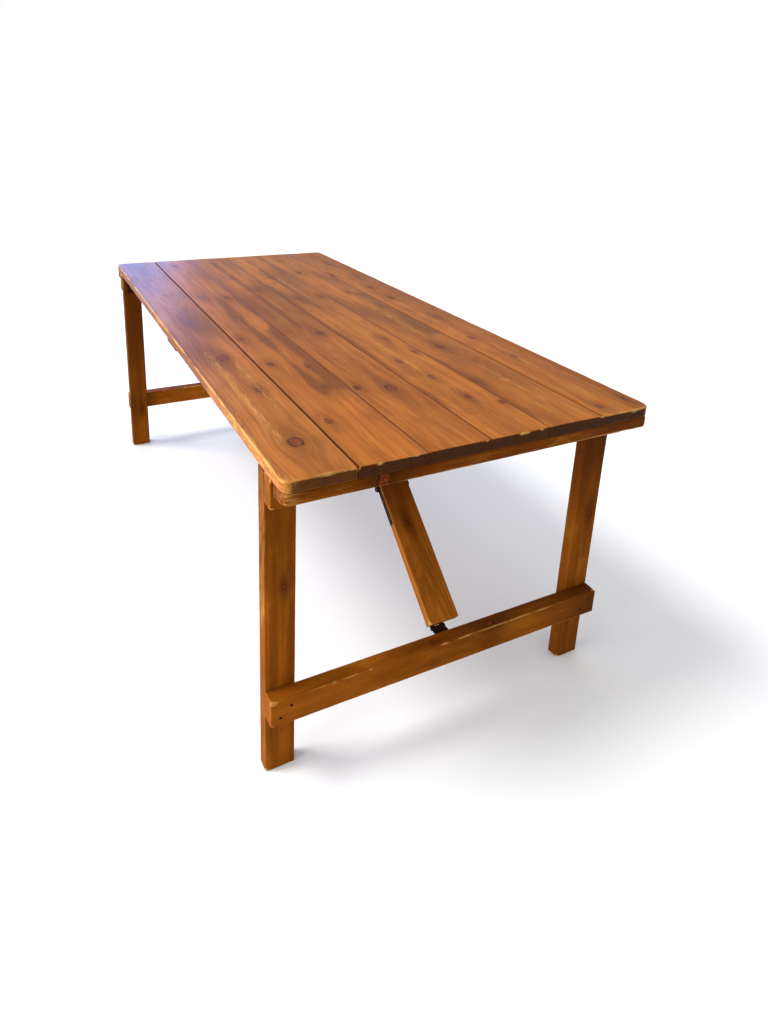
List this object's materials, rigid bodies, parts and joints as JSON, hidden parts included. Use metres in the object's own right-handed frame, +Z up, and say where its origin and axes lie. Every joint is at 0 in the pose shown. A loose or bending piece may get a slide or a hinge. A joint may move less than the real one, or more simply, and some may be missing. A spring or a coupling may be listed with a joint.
{
  "type": "folding plank table",
  "caption": "Rustic folding trestle table: plank top on battens over two inward-folding leg frames with knee braces.",
  "frame": {"origin": "on the floor under the middle of the top", "axes": "+X along the boards towards the near end, +Y across the boards, +Z up"},
  "size_m": [1.93, 0.9, 0.76],
  "materials": {
    "board_wood": "satin stain, worn edges",
    "batten_wood": "satin stain",
    "frame_wood": "satin stain, rubbed arrises",
    "brace_wood": "satin stain",
    "strap_steel": "dark, rust-browned",
    "screw_steel": "dark, rust-browned"
  },
  "bodies": {
    "top": {"board_1": "board_wood", "board_2": "board_wood", "board_3": "board_wood", "board_4": "board_wood", "board_5": "board_wood", "board_6": "board_wood", "near_end_batten": "batten_wood", "far_end_batten": "batten_wood", "mid_batten": "batten_wood", "end_batten_screws": "screw_steel", "mid_batten_screws": "screw_steel", "top_hinge_screws": "screw_steel", "cleat_screws": "screw_steel", "near_left_top_leaf": "strap_steel", "near_right_top_leaf": "strap_steel", "far_left_top_leaf": "strap_steel", "far_right_top_leaf": "strap_steel", "frame_hinge_pins": "strap_steel", "near_cleat": "batten_wood", "far_cleat": "batten_wood", "pivot_bolts": "screw_steel"},
    "near_frame": {"near_left_leg": "frame_wood", "near_right_leg": "frame_wood", "near_top_rail": "frame_wood", "near_stretcher": "frame_wood", "near_frame_screws": "screw_steel", "near_hinge_screws": "screw_steel", "near_left_leg_leaf": "strap_steel", "near_right_leg_leaf": "strap_steel", "near_foot_leaf": "strap_steel", "near_strut_hinge_pin": "strap_steel"},
    "near_strut_body": {"near_strut": "brace_wood", "near_strut_leaf": "strap_steel", "near_strut_screws": "screw_steel", "near_knee_pin": "screw_steel", "near_left_plate": "strap_steel", "near_right_plate": "strap_steel"},
    "near_bars": {"near_left_bar": "strap_steel", "near_right_bar": "strap_steel", "near_knee_rivets": "screw_steel"},
    "far_frame": {"far_left_leg": "frame_wood", "far_right_leg": "frame_wood", "far_top_rail": "frame_wood", "far_stretcher": "frame_wood", "far_frame_screws": "screw_steel", "far_hinge_screws": "screw_steel", "far_left_leg_leaf": "strap_steel", "far_right_leg_leaf": "strap_steel", "far_foot_leaf": "strap_steel", "far_strut_hinge_pin": "strap_steel"},
    "far_strut_body": {"far_strut": "brace_wood", "far_strut_leaf": "strap_steel", "far_strut_screws": "screw_steel", "far_knee_pin": "screw_steel", "far_left_plate": "strap_steel", "far_right_plate": "strap_steel"},
    "far_bars": {"far_left_bar": "strap_steel", "far_right_bar": "strap_steel", "far_knee_rivets": "screw_steel"}
  },
  "joints": [
    {"name": "near_frame_fold", "type": "hinge", "parent": "top", "child": "near_frame", "pos_m": [0.826, 0, 0.728], "axis": [0, 1, 0], "range_deg": [0, 90]},
    {"name": "near_strut_fold", "type": "hinge", "parent": "near_frame", "child": "near_strut_body", "pos_m": [0.848, -0.012, 0.217], "axis": [0, 1, 0], "range_deg": [0, 50.21]},
    {"name": "near_bar_fold", "type": "hinge", "parent": "top", "child": "near_bars", "pos_m": [0.27366, 0, 0.70401], "axis": [0, 1, 0], "range_deg": [-39.31, 0]},
    {"name": "far_frame_fold", "type": "hinge", "parent": "top", "child": "far_frame", "pos_m": [-0.826, 0, 0.728], "axis": [0, -1, 0], "range_deg": [0, 90]},
    {"name": "far_strut_fold", "type": "hinge", "parent": "far_frame", "child": "far_strut_body", "pos_m": [-0.848, -0.012, 0.217], "axis": [0, -1, 0], "range_deg": [0, 50.21]},
    {"name": "far_bar_fold", "type": "hinge", "parent": "top", "child": "far_bars", "pos_m": [-0.27366, 0, 0.70401], "axis": [0, -1, 0], "range_deg": [-39.31, 0]}
  ],
  "couplings": [
    {"joint": "near_strut_fold", "follows": "near_frame_fold", "ratio": 0.55733},
    {"joint": "near_bar_fold", "follows": "near_frame_fold", "ratio": -0.43623},
    {"joint": "far_strut_fold", "follows": "far_frame_fold", "ratio": 0.55733},
    {"joint": "far_bar_fold", "follows": "far_frame_fold", "ratio": -0.43623}
  ]
}
